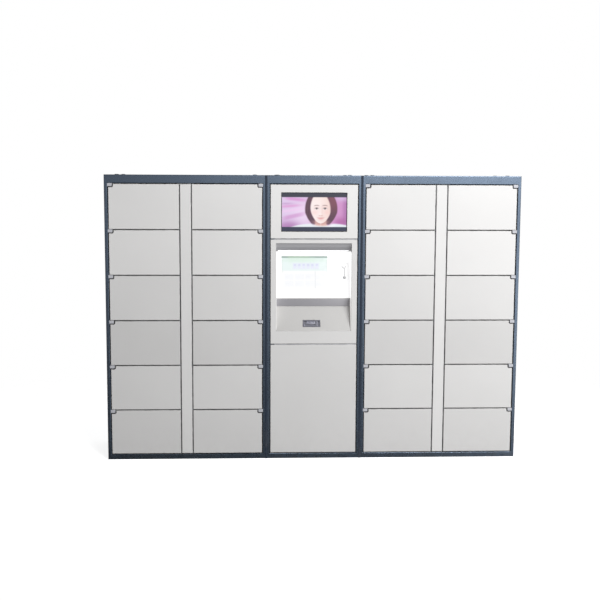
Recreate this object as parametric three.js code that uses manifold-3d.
// Parcel locker: two banks of parcel compartments either side of a control cabinet.
// Millimetres, +Z up. The front faces -Y. The origin is on the floor, under the middle.
import * as THREE from 'three';
import { mergeVertices } from 'three/addons/utils/BufferGeometryUtils.js';
import Module from 'manifold-3d';

const wasm = await Module();
wasm.setup();

// Overall sizes
const CABINET_HEIGHT = 1800;
const CABINET_DEPTH = 500;
const BANK_WIDTH = 1000; // each cabinet of parcel compartments
const CABINET_SPACING = 2; // between cabinets that are bolted side by side

// Sheet metal
const SHEET = 1.2;
const SEAT_GAP = 0.3; // between pieces that are welded, screwed or seated on each other
const STILE_WIDTH = 20;
const TOP_RAIL_HEIGHT = 52;
const BOTTOM_RAIL_HEIGHT = 33;
const FRAME_BEHIND_DOORS = 8;

// Doors and their hinges
const DOOR_ROWS = 6;
const DOOR_GAP = 5;
const DOOR_DEPTH = 16;
const HINGE_INSET = 10; // hinge axis to the door's outer edge
const HINGE_SETBACK = 6; // hinge axis to the door's front face
const PIN_RADIUS = 2.5;
const PIN_CLEARANCE = 0.6;
const PIN_ENGAGEMENT = 10; // pin length inside a door
const LUG_REACH = 30; // how far a hinge lug stands in from the stile
const LUG_DROP = 17; // how far it hangs below the top of its door
const LUG_RISE = 4; // how far it stands up into the gap above
const LUG_BEHIND_DOORS = 2;
const LUG_RADIUS = 5;
const LUG_CLEARANCE = 4; // lug to the notch in the door
const SLIM_LUG_THICKNESS = 3; // hinge lugs of the control cabinet, in the gaps between its doors
const SLIM_LUG_SETBACK = 3;

// Lock channel between the two columns of a bank
const COVER_STRIP_WIDTH = 68;
const POST_LANDING = 14; // how far the post reaches behind a door
const POST_BEHIND_DOORS = 2;
const STRIKE_THICKNESS = 3;
const STRIKE_HEIGHT = 24;
const STRIKE_LENGTH = 18; // how far a strike stands out behind its door
const STRIKE_INSET = 2; // strike to the door's free edge
const STRIKE_EYE = 9;
const STRIKE_CLEARANCE = 2.5;
const LOCK_HEIGHT = 44;
const LOCK_DEPTH = 60;
const LOCK_WIDTH = 29;
const LOCK_RAIL_OVERLAP = 1;
const LOCK_RAIL_THICKNESS = 2;

// Shelves
const SHELF_BEHIND_FRAME = 2;
const SHELF_LIP = 18;
const STRAP_WIDTH = 30;
const STRAP_INSET = 40;

// Control cabinet: windows in its doors, and what fills them
const CROSS_RAIL_HEIGHT = 24;
const CROSS_RAIL_THICKNESS = 2;
const WINDOW_CLEARANCE = 1;
const DISPLAY = { width: 412, height: 244, border: 14, depth: 45, setback: 2, below: 44, above: 49 };
const CONSOLE_MARGIN = { side: 36, below: 82, above: 23 }; // face of the door round the recess
const TRAY_DEPTH = 130;
const RISER_DEPTH = 60;
const DESK_HEIGHT = 151;
const RISER_HEIGHT = 48;
const FASCIA_HEIGHT = 300;
const LAMP_BAY_HEIGHT = 56;
const SCREEN = { width: 304, height: 228, margin: 31, up: 164, border: 10, depth: 30 };
const READER = { width: 56, height: 104, gap: 71, margin: 12, up: 176, border: 6, depth: 25 };
const READER_SLOT = { width: 4, height: 78 };
const PRINTER = { width: 112, height: 46, x: -12, up: 49, border: 8, depth: 70 };
const PRINTER_SLOT = { width: 84, height: 4 };
const LAMP = { setback: 40, height: 49, depth: 80, chamferHeight: 25, chamferDepth: 14, endGap: 0.5 };
const COMPUTER = { width: 260, height: 200, depth: 55, x: 0, z: 1120 };
const LOCK_CONTROLLER = { width: 220, height: 140, depth: 40, x: -120, z: 520 };
const POWER_SUPPLY = { width: 200, height: 110, depth: 55, x: -120, z: 300 };
const CASE_EAR = 15;
const CASE_EAR_THICKNESS = 2;
const INLET = { width: 48, height: 28, depth: 30, mouth: 22, wall: 2, fromSide: 118, z: 140 };
const INLET_FLANGE = { width: 7, thickness: 2 };

// Values worked out from the sizes above
const FRONT = -CABINET_DEPTH / 2;
const BACK = CABINET_DEPTH / 2;
const WALL = SHEET + SEAT_GAP; // an outer sheet and the gap to what seats on it
const CLEAR_HEIGHT = CABINET_HEIGHT - TOP_RAIL_HEIGHT - BOTTOM_RAIL_HEIGHT;
const DOOR_BOTTOM = BOTTOM_RAIL_HEIGHT + DOOR_GAP;
const DOOR_TOP = CABINET_HEIGHT - TOP_RAIL_HEIGHT - DOOR_GAP;
const FRAME_DEPTH = DOOR_DEPTH + FRAME_BEHIND_DOORS;
const SHELF_SETBACK = FRAME_DEPTH + SHELF_BEHIND_FRAME;
const POST_SETBACK = DOOR_DEPTH + POST_BEHIND_DOORS;
const POST_WIDTH = COVER_STRIP_WIDTH + 2 * (DOOR_GAP + POST_LANDING);
const PARCEL_DOOR_WIDTH = (BANK_WIDTH - COVER_STRIP_WIDTH) / 2 - STILE_WIDTH - 2 * DOOR_GAP;
const PARCEL_DOOR_HEIGHT = (CLEAR_HEIGHT - (DOOR_ROWS + 1) * DOOR_GAP) / DOOR_ROWS;
const ROW_PITCH = PARCEL_DOOR_HEIGHT + DOOR_GAP;
const RECESS = {
  width: SCREEN.margin + SCREEN.width + READER.gap + READER.width + READER.margin,
  height: DESK_HEIGHT + RISER_HEIGHT + FASCIA_HEIGHT + LAMP_BAY_HEIGHT,
  below: CONSOLE_MARGIN.below,
};
const CONTROL_DOOR_WIDTH = RECESS.width + 2 * CONSOLE_MARGIN.side;
const CONTROL_WIDTH = CONTROL_DOOR_WIDTH + 2 * (STILE_WIDTH + DOOR_GAP);
const CONSOLE_DOOR_HEIGHT = RECESS.height + CONSOLE_MARGIN.below + CONSOLE_MARGIN.above;
const DISPLAY_DOOR_HEIGHT = DISPLAY.height + DISPLAY.below + DISPLAY.above;
const SERVICE_DOOR_HEIGHT = CLEAR_HEIGHT - 4 * DOOR_GAP - DISPLAY_DOOR_HEIGHT - CONSOLE_DOOR_HEIGHT;
const SCREEN_X = -RECESS.width / 2 + SCREEN.margin + SCREEN.width / 2;
const READER_X = RECESS.width / 2 - READER.margin - READER.width / 2;
const INLET_X = CONTROL_WIDTH / 2 - INLET.fromSide;
const HINGE_TO_STILE = HINGE_INSET + DOOR_GAP;
const HINGE_Y = FRONT + HINGE_SETBACK;

const FINISHES = {
  frame: { color: 0x4d5a6b, roughness: 0.5, metalness: 0.3 },
  door: { color: 0xdcdcd8, roughness: 0.45, metalness: 0.1 },
  grey: { color: 0x97979b, roughness: 0.5, metalness: 0.1 },
  white: { color: 0xf4f4f2, roughness: 0.4, metalness: 0.0 },
  inner: { color: 0xc4c8ca, roughness: 0.5, metalness: 0.2 },
  zinc: { color: 0xb9bcc0, roughness: 0.35, metalness: 0.9 },
  glass: { color: 0x15161a, roughness: 0.08, metalness: 0.0 },
  plastic: { color: 0x2b2c30, roughness: 0.5, metalness: 0.0 },
};

const materials = Object.fromEntries(
  Object.entries(FINISHES).map(([name, values]) => [name, new THREE.MeshStandardMaterial(values)]),
);

// ---- Shapes

function solid(geometry) {
  const bare = geometry.clone();
  bare.deleteAttribute('normal');
  bare.deleteAttribute('uv');
  const merged = mergeVertices(bare, 1e-4);
  return new wasm.Manifold(
    new wasm.Mesh({
      numProp: 3,
      vertProperties: new Float32Array(merged.attributes.position.array),
      triVerts: new Uint32Array(merged.index.array),
    }),
  );
}

// A block between two corners, given as ranges along X, Y and Z.
function block([x0, x1], [y0, y1], [z0, z1]) {
  const geometry = new THREE.BoxGeometry(x1 - x0, y1 - y0, z1 - z0);
  geometry.translate((x0 + x1) / 2, (y0 + y1) / 2, (z0 + z1) / 2);
  return solid(geometry);
}

function extrusion(points, depth) {
  const outline = new THREE.Shape(points.map(([a, b]) => new THREE.Vector2(a, b)));
  return new THREE.ExtrudeGeometry(outline, { depth, bevelEnabled: false });
}

// An outline in X and Z, carried along Y.
function prismAlongY(points, [y0, y1]) {
  const geometry = extrusion(points, y1 - y0);
  geometry.rotateX(Math.PI / 2);
  geometry.translate(0, y1, 0);
  return solid(geometry);
}

// An outline in Y and Z, carried along X.
function prismAlongX(points, [x0, x1]) {
  const geometry = extrusion(points, x1 - x0);
  geometry.applyMatrix4(new THREE.Matrix4().set(0, 0, 1, x0, 1, 0, 0, 0, 0, 1, 0, 0, 0, 0, 0, 1));
  return solid(geometry);
}

// A round bar along Z.
function rod(radius, x, y, [z0, z1], sides = 12) {
  const geometry = new THREE.CylinderGeometry(radius, radius, z1 - z0, sides);
  geometry.rotateX(Math.PI / 2);
  geometry.translate(x, y, (z0 + z1) / 2);
  return solid(geometry);
}

function rectangle([a0, a1], [b0, b1]) {
  return [[a0, b0], [a1, b0], [a1, b1], [a0, b1]];
}

// Points of a quarter circle, from one angle to another, in degrees.
function arc(a, b, radius, from, to, steps = 4) {
  return Array.from({ length: steps + 1 }, (_, step) => {
    const angle = THREE.MathUtils.degToRad(from + ((to - from) * step) / steps);
    return [a + radius * Math.cos(angle), b + radius * Math.sin(angle)];
  });
}

const grow = ([low, high], by) => [low - by, high + by];
const around = (middle, size) => [middle - size / 2, middle + size / 2];
const mirrored = ([a, b], side) => (side > 0 ? [a, b] : [-b, -a]);

function piece(name, shape, finish, position = [0, 0, 0]) {
  const { vertProperties, triVerts } = shape.getMesh();
  const geometry = new THREE.BufferGeometry();
  geometry.setAttribute('position', new THREE.BufferAttribute(new Float32Array(vertProperties), 3));
  geometry.setIndex(new THREE.BufferAttribute(new Uint32Array(triVerts), 1));
  geometry.computeVertexNormals();
  const mesh = new THREE.Mesh(geometry, materials[finish]);
  mesh.name = name;
  mesh.position.set(...position);
  return mesh;
}

// ---- Carcass of a cabinet, in a frame at the middle of its base

// Both sides and the back, folded from one sheet.
function bodySheet(width) {
  const across = [-width / 2, width / 2];
  const outside = block(across, [FRONT, BACK], [0, CABINET_HEIGHT]);
  const inside = block(grow(across, -SHEET), [FRONT - 1, BACK - SHEET], [-1, CABINET_HEIGHT + 1]);
  return outside.subtract(inside);
}

// A sheet folded to a C: the outer sheet, a front web behind the rail, and the inner deck.
function foldedDeck(width, low, high) {
  const y0 = FRONT + FRAME_DEPTH + SEAT_GAP;
  const y1 = BACK - WALL;
  const shell = block(grow([-width / 2, width / 2], -WALL), [y0, y1], [low, high]);
  const hollow = block([-width, width], [y0 + SHEET, y1 + 1], [low + SHEET, high - SHEET]);
  return shell.subtract(hollow);
}

const basePanel = (width) => foldedDeck(width, 0, BOTTOM_RAIL_HEIGHT);
const topPanel = (width) => foldedDeck(width, CABINET_HEIGHT - TOP_RAIL_HEIGHT, CABINET_HEIGHT);

// The front frame: stiles and rails as one ring of channel, open at the back.
function frameRing(width) {
  const outerX = grow([-width / 2, width / 2], -WALL);
  const outerZ = grow([0, CABINET_HEIGHT], -WALL);
  const innerX = grow([-width / 2, width / 2], -STILE_WIDTH);
  const innerZ = [BOTTOM_RAIL_HEIGHT, CABINET_HEIGHT - TOP_RAIL_HEIGHT];
  const depth = [FRONT, FRONT + FRAME_DEPTH];
  const hollowDepth = [FRONT + SHEET, FRONT + FRAME_DEPTH + 1];
  const ring = block(outerX, depth, outerZ).subtract(block(innerX, grow(depth, 1), innerZ));
  const hollow = block(grow(outerX, -SHEET), hollowDepth, grow(outerZ, -SHEET)).subtract(
    block(grow(innerX, SHEET), grow(hollowDepth, 1), grow(innerZ, SHEET)),
  );
  return ring.subtract(hollow);
}

// ---- Parcel bank

// A hinge lug, with its lower inner corner rounded, at the stile on one side of the bank.
function hingeLug(side, doorTop) {
  const stile = BANK_WIDTH / 2 - STILE_WIDTH;
  const tip = stile - LUG_REACH;
  const bottom = doorTop - LUG_DROP;
  const outline = [
    ...arc(tip + LUG_RADIUS, bottom + LUG_RADIUS, LUG_RADIUS, 180, 270),
    [stile + SHEET / 2, bottom],
    [stile + SHEET / 2, doorTop + LUG_RISE],
    [tip, doorTop + LUG_RISE],
  ].map(([x, z]) => [side * x, z]);
  return prismAlongY(outline, [FRONT, FRONT + DOOR_DEPTH + LUG_BEHIND_DOORS]);
}

function bankFrontFrame() {
  let frame = frameRing(BANK_WIDTH);
  for (const side of [-1, 1]) {
    const axis = side * (BANK_WIDTH / 2 - STILE_WIDTH - HINGE_TO_STILE);
    const footPin = [BOTTOM_RAIL_HEIGHT - SHEET / 2, DOOR_BOTTOM + PIN_ENGAGEMENT];
    frame = frame.add(rod(PIN_RADIUS, axis, HINGE_Y, footPin));
    for (let row = 0; row < DOOR_ROWS; row += 1) {
      const doorTop = DOOR_TOP - row * ROW_PITCH;
      const pinBottom = doorTop - LUG_DROP - LUG_CLEARANCE - PIN_ENGAGEMENT;
      const pinTop = row === 0 ? doorTop : doorTop + DOOR_GAP + PIN_ENGAGEMENT;
      frame = frame.add(hingeLug(side, doorTop));
      frame = frame.add(rod(PIN_RADIUS, axis, HINGE_Y, [pinBottom, pinTop]));
    }
  }
  return frame;
}

// Outline of a parcel door, notched at its top outer corner for the hinge lug.
// The hinge axis is at x = 0, and the door reaches towards +X when side is 1.
function parcelDoorOutline(side, inset) {
  const outerEdge = -HINGE_INSET + inset;
  const freeEdge = PARCEL_DOOR_WIDTH - HINGE_INSET - inset;
  const notchX = -HINGE_TO_STILE + LUG_REACH + LUG_CLEARANCE;
  const notchZ = PARCEL_DOOR_HEIGHT - LUG_DROP - LUG_CLEARANCE;
  const radius = LUG_RADIUS + LUG_CLEARANCE;
  return [
    [outerEdge, inset],
    [freeEdge, inset],
    [freeEdge, PARCEL_DOOR_HEIGHT - inset],
    [notchX + inset, PARCEL_DOOR_HEIGHT - inset],
    ...arc(notchX - radius, notchZ + radius, radius + inset, 0, -90),
    [outerEdge, notchZ - inset],
  ].map(([x, z]) => [side * x, z]);
}

// Where a strike stands, measured from the hinge axis towards the free edge.
const STRIKE_END = PARCEL_DOOR_WIDTH - HINGE_INSET - STRIKE_INSET;
const STRIKE_X = [STRIKE_END - STRIKE_THICKNESS, STRIKE_END];

// A folded pan with pin holes in its flanges and a strike for the lock, about its hinge axis.
function parcelDoor(side) {
  const front = -HINGE_SETBACK;
  const rear = front + DOOR_DEPTH;
  const notchFloor = PARCEL_DOOR_HEIGHT - LUG_DROP - LUG_CLEARANCE;
  const middle = around(PARCEL_DOOR_HEIGHT / 2, STRIKE_HEIGHT);
  const bracketX = [STRIKE_X[0], STRIKE_END + STRIKE_INSET - SHEET / 2];
  const eyeY = around(rear + STRIKE_LENGTH * 0.6, STRIKE_EYE);
  const eyeZ = around(PARCEL_DOOR_HEIGHT / 2, STRIKE_EYE);
  return prismAlongY(parcelDoorOutline(side, 0), [front, rear])
    .subtract(prismAlongY(parcelDoorOutline(side, SHEET), [front + SHEET, rear + 1]))
    .subtract(rod(PIN_RADIUS + PIN_CLEARANCE, 0, 0, [-1, SHEET + 1]))
    .subtract(rod(PIN_RADIUS + PIN_CLEARANCE, 0, 0, [notchFloor - SHEET - 1, notchFloor + 1]))
    .add(block(mirrored(bracketX, side), [rear - 2, rear], middle))
    .add(block(mirrored(STRIKE_X, side), [rear - 2, rear + STRIKE_LENGTH], middle))
    .subtract(block(mirrored(grow(STRIKE_X, 1), side), eyeY, eyeZ));
}

const INNER_Z = grow([BOTTOM_RAIL_HEIGHT, CABINET_HEIGHT - TOP_RAIL_HEIGHT], -SEAT_GAP);
const rowMiddle = (row) => DOOR_TOP - row * ROW_PITCH - PARCEL_DOOR_HEIGHT / 2;

// Distance of a strike from the bank's middle plane.
const hingeDistance = BANK_WIDTH / 2 - STILE_WIDTH - HINGE_TO_STILE;
const STRIKE_SPAN = [hingeDistance - STRIKE_X[1], hingeDistance - STRIKE_X[0]];

// The post: a channel between the two columns, slotted for the strikes.
function post() {
  const across = around(0, POST_WIDTH);
  const front = FRONT + POST_SETBACK;
  let channel = block(across, [front, BACK - WALL], INNER_Z).subtract(
    block(grow(across, -SHEET), [front + SHEET, BACK], grow(INNER_Z, 1)),
  );
  for (const side of [-1, 1]) {
    for (let row = 0; row < DOOR_ROWS; row += 1) {
      const slotX = mirrored(grow(STRIKE_SPAN, STRIKE_CLEARANCE), side);
      const slotZ = around(rowMiddle(row), STRIKE_HEIGHT + 2 * STRIKE_CLEARANCE);
      channel = channel.subtract(block(slotX, [front - 1, front + SHEET + 1], slotZ));
    }
  }
  return channel;
}

// The lock bank: a case with a mouth for each strike, on one wired rail.
function lockBank() {
  const front = FRONT + POST_SETBACK + WALL;
  const caseEnd = POST_WIDTH / 2 - WALL;
  const mouthY = [front - 1, FRONT + DOOR_DEPTH + STRIKE_LENGTH + STRIKE_CLEARANCE];
  const railY = [front + LOCK_DEPTH / 2, front + LOCK_DEPTH / 2 + LOCK_RAIL_THICKNESS];
  const railEnd = caseEnd - LOCK_WIDTH + LOCK_RAIL_OVERLAP;
  let bank = block([-railEnd, railEnd], railY, grow(INNER_Z, -DOOR_GAP));
  for (const side of [-1, 1]) {
    for (let row = 0; row < DOOR_ROWS; row += 1) {
      const z = rowMiddle(row);
      const caseX = mirrored([caseEnd - LOCK_WIDTH, caseEnd], side);
      const mouthX = mirrored(grow(STRIKE_SPAN, STRIKE_CLEARANCE), side);
      const mouthZ = around(z, STRIKE_HEIGHT + 2 * STRIKE_CLEARANCE);
      bank = bank.add(block(caseX, [front, front + LOCK_DEPTH], around(z, LOCK_HEIGHT)));
      bank = bank.subtract(block(mouthX, mouthY, mouthZ));
    }
  }
  return bank;
}

// The cover strip: a folded pan over the lock channel.
function coverStrip() {
  const across = around(0, COVER_STRIP_WIDTH);
  const depth = [FRONT, FRONT + POST_SETBACK - SEAT_GAP];
  const height = [DOOR_BOTTOM, DOOR_TOP];
  const hollowDepth = [FRONT + SHEET, depth[1] + 1];
  return block(across, depth, height).subtract(
    block(grow(across, -SHEET), hollowDepth, grow(height, -SHEET)),
  );
}

// The shelves of one column, with a turned-down front lip each, welded to two upright straps.
function shelfRack(side) {
  const inner = POST_WIDTH / 2 + SEAT_GAP;
  const outer = BANK_WIDTH / 2 - WALL;
  const depth = [FRONT + SHELF_SETBACK, BACK - WALL];
  const gapMiddle = (row) => DOOR_TOP - row * ROW_PITCH + DOOR_GAP / 2;
  const strapZ = [gapMiddle(DOOR_ROWS - 1) - SHELF_LIP, gapMiddle(1) + SHELF_LIP];
  const strapX = mirrored([outer - SHEET, outer], side);
  const frontStrap = depth[0] + STRAP_INSET;
  const rearStrap = depth[1] - STRAP_INSET - STRAP_WIDTH;
  let rack = block(strapX, [frontStrap, frontStrap + STRAP_WIDTH], strapZ);
  rack = rack.add(block(strapX, [rearStrap, rearStrap + STRAP_WIDTH], strapZ));
  for (let row = 1; row < DOOR_ROWS; row += 1) {
    const z = gapMiddle(row);
    const shelfX = mirrored([inner, outer - SHEET / 2], side);
    rack = rack.add(block(shelfX, depth, [z - SHEET / 2, z + SHEET / 2]));
    rack = rack.add(block(shelfX, [depth[0], depth[0] + SHEET], [z - SHELF_LIP, z]));
  }
  return rack;
}

const doorShapes = { [-1]: parcelDoor(-1), 1: parcelDoor(1) };

function parcelBank(prefix, middle, firstDoor) {
  const bank = new THREE.Group();
  bank.position.x = middle;
  const outward = Math.sign(middle);
  bank.add(
    piece(`${prefix}_body_sheet`, bodySheet(BANK_WIDTH), 'frame'),
    piece(`${prefix}_base_panel`, basePanel(BANK_WIDTH), 'frame'),
    piece(`${prefix}_top_panel`, topPanel(BANK_WIDTH), 'frame'),
    piece(`${prefix}_front_frame`, bankFrontFrame(), 'frame'),
    piece(`${prefix}_post`, post(), 'inner'),
    piece(`${prefix}_lock_bank`, lockBank(), 'zinc'),
    piece(`${prefix}_cover_strip`, coverStrip(), 'door'),
    piece(`${prefix}_outer_shelf_rack`, shelfRack(outward), 'inner'),
    piece(`${prefix}_inner_shelf_rack`, shelfRack(-outward), 'inner'),
  );
  for (let index = 0; index < 2 * DOOR_ROWS; index += 1) {
    const hingeSide = index < DOOR_ROWS ? -1 : 1;
    const row = index % DOOR_ROWS;
    const name = `door_${String(firstDoor + index).padStart(2, '0')}`;
    const bottom = DOOR_TOP - row * ROW_PITCH - PARCEL_DOOR_HEIGHT;
    const place = [hingeSide * hingeDistance, HINGE_Y, bottom];
    bank.add(piece(name, doorShapes[-hingeSide], 'door', place));
  }
  return bank;
}

// ---- Control cabinet

const SERVICE_TOP = DOOR_BOTTOM + SERVICE_DOOR_HEIGHT;
const CONSOLE_BOTTOM = SERVICE_TOP + DOOR_GAP;
const CONSOLE_TOP = CONSOLE_BOTTOM + CONSOLE_DOOR_HEIGHT;
const DISPLAY_BOTTOM = CONSOLE_TOP + DOOR_GAP;
const CONTROL_HINGE_X = -(CONTROL_WIDTH / 2 - STILE_WIDTH - HINGE_TO_STILE);

// The front frame, with a cross rail and a slim hinge lug at each gap between doors.
function controlFrontFrame() {
  const stile = CONTROL_WIDTH / 2 - STILE_WIDTH;
  const rail = grow([-stile, stile], SHEET / 2);
  const railY = [FRONT + FRAME_DEPTH - CROSS_RAIL_THICKNESS, FRONT + FRAME_DEPTH];
  const lugX = [rail[0], -stile + LUG_REACH];
  const lugY = [FRONT + SLIM_LUG_SETBACK, FRONT + FRAME_DEPTH];
  let frame = frameRing(CONTROL_WIDTH);
  for (const gap of [SERVICE_TOP, CONSOLE_TOP]) {
    const z = gap + DOOR_GAP / 2;
    const pin = grow(around(z, DOOR_GAP), PIN_ENGAGEMENT);
    frame = frame.add(block(rail, railY, around(z, CROSS_RAIL_HEIGHT)));
    frame = frame.add(block(lugX, lugY, around(z, SLIM_LUG_THICKNESS)));
    frame = frame.add(rod(PIN_RADIUS, CONTROL_HINGE_X, HINGE_Y, pin));
  }
  const footPin = [BOTTOM_RAIL_HEIGHT - SHEET / 2, DOOR_BOTTOM + PIN_ENGAGEMENT];
  const headPin = [DOOR_TOP - PIN_ENGAGEMENT, DOOR_TOP + DOOR_GAP + SHEET / 2];
  frame = frame.add(rod(PIN_RADIUS, CONTROL_HINGE_X, HINGE_Y, footPin));
  return frame.add(rod(PIN_RADIUS, CONTROL_HINGE_X, HINGE_Y, headPin));
}

// A door of the control cabinet, about its hinge axis. A window may be cut in its face.
function controlDoor(height, window) {
  const across = [-HINGE_INSET, CONTROL_DOOR_WIDTH - HINGE_INSET];
  const depth = [-HINGE_SETBACK, -HINGE_SETBACK + DOOR_DEPTH];
  const hollowY = [depth[0] + SHEET, depth[1] + 1];
  let door = block(across, depth, [0, height])
    .subtract(block(grow(across, -SHEET), hollowY, grow([0, height], -SHEET)))
    .subtract(rod(PIN_RADIUS + PIN_CLEARANCE, 0, 0, [-1, SHEET + 1]))
    .subtract(rod(PIN_RADIUS + PIN_CLEARANCE, 0, 0, [height - SHEET - 1, height + 1]));
  if (window) {
    const windowX = around(-CONTROL_HINGE_X, window.width);
    const windowZ = [window.below, window.below + window.height];
    door = door.subtract(block(windowX, grow(depth, 1), windowZ));
  }
  return door;
}

// A unit behind a window: its face fills the window and its body is a border larger all round.
// Local frame: the face's middle is the origin, the front surface of the panel is y = 0.
function windowUnit({ width, height, border, depth }, setback) {
  const face = grow(around(0, width), -WINDOW_CLEARANCE);
  const faceZ = grow(around(0, height), -WINDOW_CLEARANCE);
  const behind = [WALL, WALL + depth];
  return block(face, [setback, WALL + 1], faceZ).add(
    block(around(0, width + 2 * border), behind, around(0, height + 2 * border)),
  );
}

const RECESS_FLOOR = CONSOLE_BOTTOM + RECESS.below;
const RECESS_TOP = RECESS_FLOOR + RECESS.height;
const TRAY_FRONT = WALL; // depth behind the console door's face
const DESK_TOP = RECESS_FLOOR + DESK_HEIGHT;
const RISER_TOP = DESK_TOP + RISER_HEIGHT;
const FASCIA_TOP = RISER_TOP + FASCIA_HEIGHT;
const FASCIA_LEAN = Math.atan((TRAY_DEPTH - RISER_DEPTH) / FASCIA_HEIGHT);
const DESK_LEAN = Math.atan((RISER_DEPTH - TRAY_FRONT) / DESK_HEIGHT);

// The surface of the tray, as depth behind the front and height, from the desk to the ceiling.
const TRAY_LINE = [
  [TRAY_FRONT, RECESS_FLOOR],
  [RISER_DEPTH, DESK_TOP],
  [RISER_DEPTH, RISER_TOP],
  [TRAY_DEPTH, FASCIA_TOP],
  [TRAY_DEPTH, RECESS_TOP],
  [TRAY_FRONT, RECESS_TOP],
];

// The line moved outwards by a sheet's thickness, with mitred corners.
function offsetLine(line, distance) {
  const normals = line.slice(1).map(([a, b], index) => {
    const [a0, b0] = line[index];
    const length = Math.hypot(a - a0, b - b0);
    return [(b - b0) / length, -(a - a0) / length];
  });
  return line.map(([a, b], index) => {
    const before = normals[Math.max(index - 1, 0)];
    const after = normals[Math.min(index, normals.length - 1)];
    const scale = distance / (1 + before[0] * after[0] + before[1] * after[1]);
    return [a + (before[0] + after[0]) * scale, b + (before[1] + after[1]) * scale];
  });
}

// A place on a leaning face of the tray, given its foot, its lean and the way up the slope.
function onSlope([depth, z], lean, up) {
  return [FRONT + depth + up * Math.sin(lean), z + up * Math.cos(lean)];
}

function leaning(mesh, lean) {
  mesh.rotation.x = -lean;
  return mesh;
}

// A cut through a leaning face, at the place of the unit that fills it.
function slopeWindow({ width, height, up }, x, foot, lean) {
  const [y, z] = onSlope(foot, lean, up);
  const geometry = new THREE.BoxGeometry(width, 6 * SHEET, height);
  geometry.rotateX(-lean);
  geometry.translate(x, y, z);
  return solid(geometry);
}

const FASCIA_FOOT = TRAY_LINE[2];
const DESK_FOOT = TRAY_LINE[0];

// The console tray: a welded liner with a desk, a riser, a leaning fascia and two cheeks.
function consoleTray() {
  const toWorld = ([depth, z]) => [FRONT + depth, z];
  const outline = offsetLine(TRAY_LINE, SHEET).map(toWorld);
  const mouth = [
    [FRONT - 1, RECESS_FLOOR],
    ...TRAY_LINE.map(toWorld),
    [FRONT - 1, RECESS_TOP],
  ];
  const across = around(0, RECESS.width);
  return prismAlongX(outline, grow(across, SHEET))
    .subtract(prismAlongX(mouth, across))
    .subtract(slopeWindow(SCREEN, SCREEN_X, FASCIA_FOOT, FASCIA_LEAN))
    .subtract(slopeWindow(READER, READER_X, FASCIA_FOOT, FASCIA_LEAN))
    .subtract(slopeWindow(PRINTER, PRINTER.x, DESK_FOOT, DESK_LEAN));
}

// The lamp housing under the ceiling of the recess, its lower front edge chamfered.
function consoleLamp() {
  const front = FRONT + LAMP.setback;
  const top = RECESS_TOP - SEAT_GAP;
  const bottom = top - LAMP.height;
  const outline = [
    [front, top],
    [front, bottom + LAMP.chamferHeight],
    [front + LAMP.chamferDepth, bottom],
    [front + LAMP.depth, bottom],
    [front + LAMP.depth, top],
  ];
  return prismAlongX(outline, grow(around(0, RECESS.width), -LAMP.endGap));
}

function cardReader() {
  const slotDepth = READER.depth / 2;
  const across = around(0, READER_SLOT.width);
  const slot = block(across, [-1, slotDepth], around(0, READER_SLOT.height));
  return windowUnit(READER, 0).subtract(slot);
}

function receiptPrinter() {
  const slotDepth = PRINTER.depth / 4;
  const across = around(0, PRINTER_SLOT.width);
  const slot = block(across, [-1, slotDepth], around(0, PRINTER_SLOT.height));
  return windowUnit(PRINTER, 0).subtract(slot);
}

// A case of electronics with a mounting ear on either side, its back at y = 0.
function electronicsCase({ width, height, depth }) {
  const ears = around(0, width + 2 * CASE_EAR);
  return block(around(0, width), [-depth, 0], [0, height]).add(
    block(ears, [-CASE_EAR_THICKNESS, 0], [CASE_EAR, height - CASE_EAR]),
  );
}

// The mains inlet, screwed to the inside of the back with its mouth in the cut-out.
function powerInlet() {
  const body = block(around(0, INLET.width), [-INLET.depth, WALL], around(0, INLET.height));
  const flangeX = grow(around(0, INLET.width), INLET_FLANGE.width);
  const flangeZ = grow(around(0, INLET.height), INLET_FLANGE.width);
  const wellX = grow(around(0, INLET.width), -INLET.wall);
  const wellZ = grow(around(0, INLET.height), -INLET.wall);
  return body
    .add(block(flangeX, [-INLET_FLANGE.thickness, 0], flangeZ))
    .subtract(block(wellX, [WALL - INLET.mouth, WALL + 1], wellZ));
}

function inletCutOut() {
  const across = grow(around(INLET_X, INLET.width), WINDOW_CLEARANCE);
  const height = grow(around(INLET.z, INLET.height), WINDOW_CLEARANCE);
  return block(across, [BACK - 2 * SHEET, BACK + 1], height);
}

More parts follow.
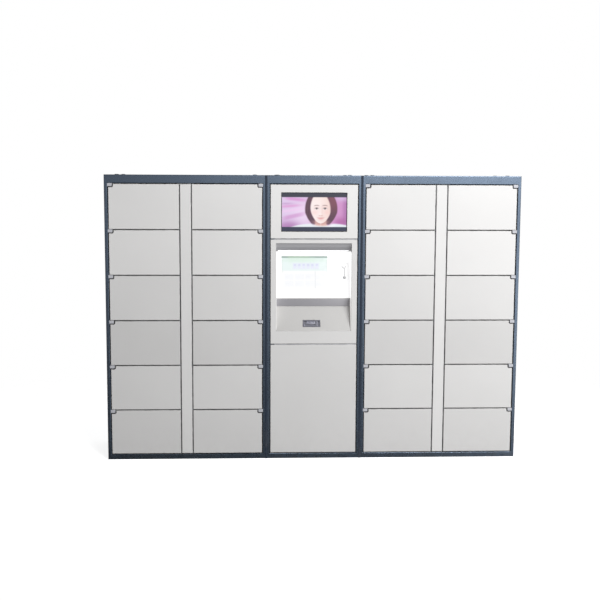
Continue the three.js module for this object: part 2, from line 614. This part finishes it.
function controlCabinet() {
  const cabinet = new THREE.Group();
  const hinge = (bottom) => [CONTROL_HINGE_X, HINGE_Y, bottom];
  const monitorZ = DISPLAY_BOTTOM + DISPLAY.below + DISPLAY.height / 2;
  const onFascia = (x, up) => [x, ...onSlope(FASCIA_FOOT, FASCIA_LEAN, up)];
  const onDesk = (x, up) => [x, ...onSlope(DESK_FOOT, DESK_LEAN, up)];
  const onBack = ({ x, z }) => [x, BACK - WALL, z];
  const displayDoor = controlDoor(DISPLAY_DOOR_HEIGHT, DISPLAY);
  const consoleDoor = controlDoor(CONSOLE_DOOR_HEIGHT, RECESS);
  const screenPlace = onFascia(SCREEN_X, SCREEN.up);
  const readerPlace = onFascia(READER_X, READER.up);
  const printerPlace = onDesk(PRINTER.x, PRINTER.up);
  cabinet.add(
    piece('control_body_sheet', bodySheet(CONTROL_WIDTH).subtract(inletCutOut()), 'frame'),
    piece('control_base_panel', basePanel(CONTROL_WIDTH), 'frame'),
    piece('control_top_panel', topPanel(CONTROL_WIDTH), 'frame'),
    piece('control_front_frame', controlFrontFrame(), 'frame'),
    piece('service_door', controlDoor(SERVICE_DOOR_HEIGHT), 'door', hinge(DOOR_BOTTOM)),
    piece('console_door', consoleDoor, 'door', hinge(CONSOLE_BOTTOM)),
    piece('display_door', displayDoor, 'door', hinge(DISPLAY_BOTTOM)),
    piece('display_monitor', windowUnit(DISPLAY, DISPLAY.setback), 'glass', [0, FRONT, monitorZ]),
    piece('console_tray', consoleTray(), 'white'),
    piece('console_lamp', consoleLamp(), 'grey'),
    leaning(piece('touch_screen', windowUnit(SCREEN, 0), 'glass', screenPlace), FASCIA_LEAN),
    leaning(piece('card_reader', cardReader(), 'white', readerPlace), FASCIA_LEAN),
    leaning(piece('receipt_printer', receiptPrinter(), 'plastic', printerPlace), DESK_LEAN),
    piece('computer', electronicsCase(COMPUTER), 'plastic', onBack(COMPUTER)),
    piece('lock_controller', electronicsCase(LOCK_CONTROLLER), 'zinc', onBack(LOCK_CONTROLLER)),
    piece('power_supply', electronicsCase(POWER_SUPPLY), 'zinc', onBack(POWER_SUPPLY)),
    piece('power_inlet', powerInlet(), 'plastic', [INLET_X, BACK - WALL, INLET.z]),
  );
  return cabinet;
}

// ---- The locker

const BANK_MIDDLE = (CONTROL_WIDTH + BANK_WIDTH) / 2 + CABINET_SPACING;
const locker = new THREE.Group();
locker.add(
  parcelBank('left', -BANK_MIDDLE, 1),
  controlCabinet(),
  parcelBank('right', BANK_MIDDLE, 1 + 2 * DOOR_ROWS),
);

export default locker;
